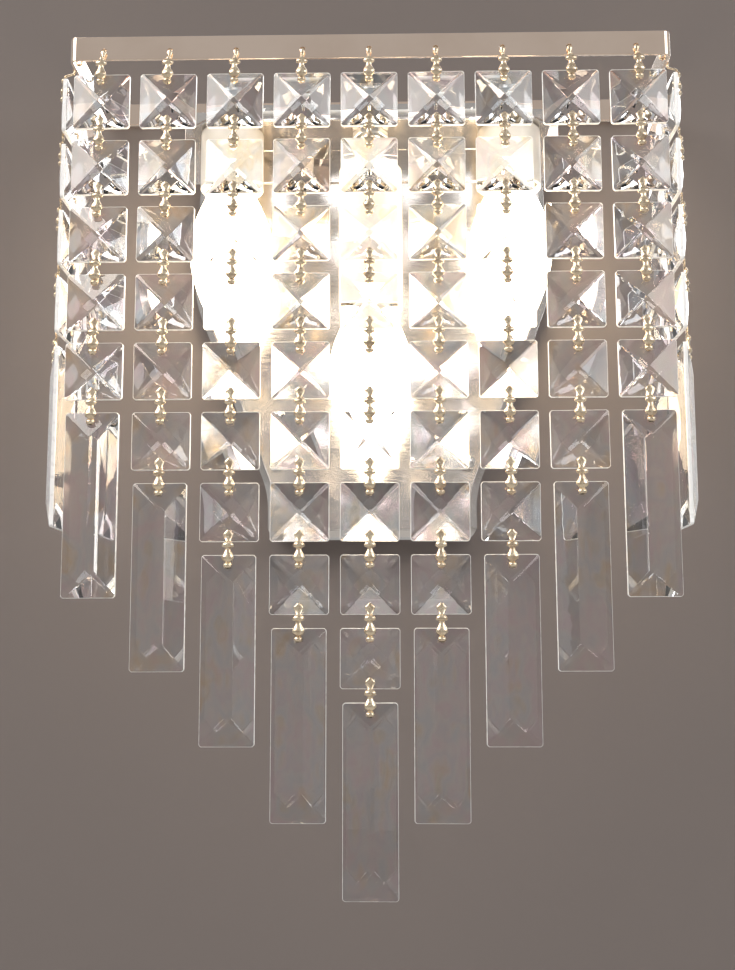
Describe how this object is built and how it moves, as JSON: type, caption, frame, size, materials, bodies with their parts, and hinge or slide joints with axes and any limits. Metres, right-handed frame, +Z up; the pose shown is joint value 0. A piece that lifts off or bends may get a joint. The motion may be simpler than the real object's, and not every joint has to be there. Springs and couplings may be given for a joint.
{
  "type": "crystal wall sconce",
  "caption": "Wall light whose chrome band carries stepped strands of faceted glass squares and prisms in front of candle lamps on a polished shield-shaped pan.",
  "frame": {"origin": "on the wall plane, midway between the two slotted screw holes of the wall bracket", "axes": "+Z up, +X to the right seen from the room, +Y into the wall, so the room is on the -Y side"},
  "size_m": [0.2718, 0.0739, 0.3591],
  "materials": {
    "cut_glass": "clear polished facets",
    "link_brass": "bright stamped brass",
    "chrome_band": "bright plated",
    "polished_pan": "polished plate, fine polishing lines",
    "chrome_fittings": "bright plated",
    "zinc_steel": "zinc plated",
    "candle_sleeve": "cream satin tube",
    "black_moulding": "moulded thermoset",
    "bulb_cap_brass": "rolled thread",
    "warm_opal_glass": "lit opal envelope",
    "terminal_nylon": "natural nylon",
    "lead_sleeving": "heat-proof sleeving"
  },
  "bodies": {
    "fitting": {"frame_band": "chrome_band", "rear_rail": "chrome_band", "back_pan": "polished_pan", "wall_bracket": "zinc_steel", "pan_studs": "zinc_steel", "cap_nuts": "chrome_fittings", "lamp_carrier": "polished_pan", "side_candle_sleeves": "candle_sleeve", "centre_candle_sleeve": "candle_sleeve", "lampholders": "black_moulding", "lamp_nipples": "zinc_steel", "nipple_nuts": "zinc_steel", "bulb_caps": "bulb_cap_brass", "bulb_glasses": "warm_opal_glass", "frame_screws": "chrome_fittings", "terminal_block": "terminal_nylon", "earth_screw": "link_brass", "lamp_leads": "lead_sleeving"},
    "front_strand_1": {"front_strand_1_squares": "cut_glass", "front_strand_1_links": "link_brass"},
    "front_strand_1_prism": {"front_strand_1_bar": "cut_glass"},
    "front_strand_2": {"front_strand_2_squares": "cut_glass", "front_strand_2_links": "link_brass"},
    "front_strand_2_prism": {"front_strand_2_bar": "cut_glass"},
    "front_strand_3": {"front_strand_3_squares": "cut_glass", "front_strand_3_links": "link_brass"},
    "front_strand_3_prism": {"front_strand_3_bar": "cut_glass"},
    "front_strand_4": {"front_strand_4_squares": "cut_glass", "front_strand_4_links": "link_brass"},
    "front_strand_4_prism": {"front_strand_4_bar": "cut_glass"},
    "front_strand_5": {"front_strand_5_squares": "cut_glass", "front_strand_5_links": "link_brass"},
    "front_strand_5_prism": {"front_strand_5_bar": "cut_glass"},
    "front_strand_6": {"front_strand_6_squares": "cut_glass", "front_strand_6_links": "link_brass"},
    "front_strand_6_prism": {"front_strand_6_bar": "cut_glass"},
    "front_strand_7": {"front_strand_7_squares": "cut_glass", "front_strand_7_links": "link_brass"},
    "front_strand_7_prism": {"front_strand_7_bar": "cut_glass"},
    "front_strand_8": {"front_strand_8_squares": "cut_glass", "front_strand_8_links": "link_brass"},
    "front_strand_8_prism": {"front_strand_8_bar": "cut_glass"},
    "front_strand_9": {"front_strand_9_squares": "cut_glass", "front_strand_9_links": "link_brass"},
    "front_strand_9_prism": {"front_strand_9_bar": "cut_glass"},
    "left_strand_1": {"left_strand_1_squares": "cut_glass", "left_strand_1_links": "link_brass"},
    "left_strand_1_prism": {"left_strand_1_bar": "cut_glass"},
    "left_strand_2": {"left_strand_2_squares": "cut_glass", "left_strand_2_links": "link_brass"},
    "left_strand_2_prism": {"left_strand_2_bar": "cut_glass"},
    "right_strand_1": {"right_strand_1_squares": "cut_glass", "right_strand_1_links": "link_brass"},
    "right_strand_1_prism": {"right_strand_1_bar": "cut_glass"},
    "right_strand_2": {"right_strand_2_squares": "cut_glass", "right_strand_2_links": "link_brass"},
    "right_strand_2_prism": {"right_strand_2_bar": "cut_glass"}
  },
  "joints": [
    {"name": "front_strand_1_swing", "type": "hinge", "parent": "fitting", "child": "front_strand_1", "pos_m": [-0.114, -0.0664, 0.044], "axis": [-1, 0, 0], "range_deg": [0, 35]},
    {"name": "front_strand_1_prism_tilt", "type": "hinge", "parent": "front_strand_1", "child": "front_strand_1_prism", "pos_m": [-0.114, -0.0684, -0.1185], "axis": [-1, 0, 0], "range_deg": [-6, 8]},
    {"name": "front_strand_2_swing", "type": "hinge", "parent": "fitting", "child": "front_strand_2", "pos_m": [-0.0855, -0.0664, 0.044], "axis": [-1, 0, 0], "range_deg": [0, 35]},
    {"name": "front_strand_2_prism_tilt", "type": "hinge", "parent": "front_strand_2", "child": "front_strand_2_prism", "pos_m": [-0.0855, -0.0684, -0.1479], "axis": [-1, 0, 0], "range_deg": [-6, 8]},
    {"name": "front_strand_3_swing", "type": "hinge", "parent": "fitting", "child": "front_strand_3", "pos_m": [-0.057, -0.0664, 0.044], "axis": [-1, 0, 0], "range_deg": [0, 35]},
    {"name": "front_strand_3_prism_tilt", "type": "hinge", "parent": "front_strand_3", "child": "front_strand_3_prism", "pos_m": [-0.057, -0.0684, -0.1773], "axis": [-1, 0, 0], "range_deg": [-6, 8]},
    {"name": "front_strand_4_swing", "type": "hinge", "parent": "fitting", "child": "front_strand_4", "pos_m": [-0.0285, -0.0664, 0.044], "axis": [-1, 0, 0], "range_deg": [0, 35]},
    {"name": "front_strand_4_prism_tilt", "type": "hinge", "parent": "front_strand_4", "child": "front_strand_4_prism", "pos_m": [-0.0285, -0.0684, -0.2067], "axis": [-1, 0, 0], "range_deg": [-6, 8]},
    {"name": "front_strand_5_swing", "type": "hinge", "parent": "fitting", "child": "front_strand_5", "pos_m": [0, -0.0664, 0.044], "axis": [-1, 0, 0], "range_deg": [0, 35]},
    {"name": "front_strand_5_prism_tilt", "type": "hinge", "parent": "front_strand_5", "child": "front_strand_5_prism", "pos_m": [0, -0.0684, -0.2361], "axis": [-1, 0, 0], "range_deg": [-6, 8]},
    {"name": "front_strand_6_swing", "type": "hinge", "parent": "fitting", "child": "front_strand_6", "pos_m": [0.0285, -0.0664, 0.044], "axis": [-1, 0, 0], "range_deg": [0, 35]},
    {"name": "front_strand_6_prism_tilt", "type": "hinge", "parent": "front_strand_6", "child": "front_strand_6_prism", "pos_m": [0.0285, -0.0684, -0.2067], "axis": [-1, 0, 0], "range_deg": [-6, 8]},
    {"name": "front_strand_7_swing", "type": "hinge", "parent": "fitting", "child": "front_strand_7", "pos_m": [0.057, -0.0664, 0.044], "axis": [-1, 0, 0], "range_deg": [0, 35]},
    {"name": "front_strand_7_prism_tilt", "type": "hinge", "parent": "front_strand_7", "child": "front_strand_7_prism", "pos_m": [0.057, -0.0684, -0.1773], "axis": [-1, 0, 0], "range_deg": [-6, 8]},
    {"name": "front_strand_8_swing", "type": "hinge", "parent": "fitting", "child": "front_strand_8", "pos_m": [0.0855, -0.0664, 0.044], "axis": [-1, 0, 0], "range_deg": [0, 35]},
    {"name": "front_strand_8_prism_tilt", "type": "hinge", "parent": "front_strand_8", "child": "front_strand_8_prism", "pos_m": [0.0855, -0.0684, -0.1479], "axis": [-1, 0, 0], "range_deg": [-6, 8]},
    {"name": "front_strand_9_swing", "type": "hinge", "parent": "fitting", "child": "front_strand_9", "pos_m": [0.114, -0.0664, 0.044], "axis": [-1, 0, 0], "range_deg": [0, 35]},
    {"name": "front_strand_9_prism_tilt", "type": "hinge", "parent": "front_strand_9", "child": "front_strand_9_prism", "pos_m": [0.114, -0.0684, -0.1185], "axis": [-1, 0, 0], "range_deg": [-6, 8]},
    {"name": "left_strand_1_swing", "type": "hinge", "parent": "fitting", "child": "left_strand_1", "pos_m": [-0.1284, -0.055, 0.044], "axis": [0, 1, 0], "range_deg": [0, 35]},
    {"name": "left_strand_1_prism_tilt", "type": "hinge", "parent": "left_strand_1", "child": "left_strand_1_prism", "pos_m": [-0.1304, -0.055, -0.0891], "axis": [0, 1, 0], "range_deg": [-1.5, 8]},
    {"name": "left_strand_2_swing", "type": "hinge", "parent": "fitting", "child": "left_strand_2", "pos_m": [-0.1284, -0.0265, 0.044], "axis": [0, 1, 0], "range_deg": [0, 35]},
    {"name": "left_strand_2_prism_tilt", "type": "hinge", "parent": "left_strand_2", "child": "left_strand_2_prism", "pos_m": [-0.1304, -0.0265, -0.0891], "axis": [0, 1, 0], "range_deg": [-6, 8]},
    {"name": "right_strand_1_swing", "type": "hinge", "parent": "fitting", "child": "right_strand_1", "pos_m": [0.1284, -0.055, 0.044], "axis": [0, -1, 0], "range_deg": [0, 35]},
    {"name": "right_strand_1_prism_tilt", "type": "hinge", "parent": "right_strand_1", "child": "right_strand_1_prism", "pos_m": [0.1304, -0.055, -0.0891], "axis": [0, -1, 0], "range_deg": [-1.5, 8]},
    {"name": "right_strand_2_swing", "type": "hinge", "parent": "fitting", "child": "right_strand_2", "pos_m": [0.1284, -0.0265, 0.044], "axis": [0, -1, 0], "range_deg": [0, 35]},
    {"name": "right_strand_2_prism_tilt", "type": "hinge", "parent": "right_strand_2", "child": "right_strand_2_prism", "pos_m": [0.1304, -0.0265, -0.0891], "axis": [0, -1, 0], "range_deg": [-6, 8]}
  ]
}
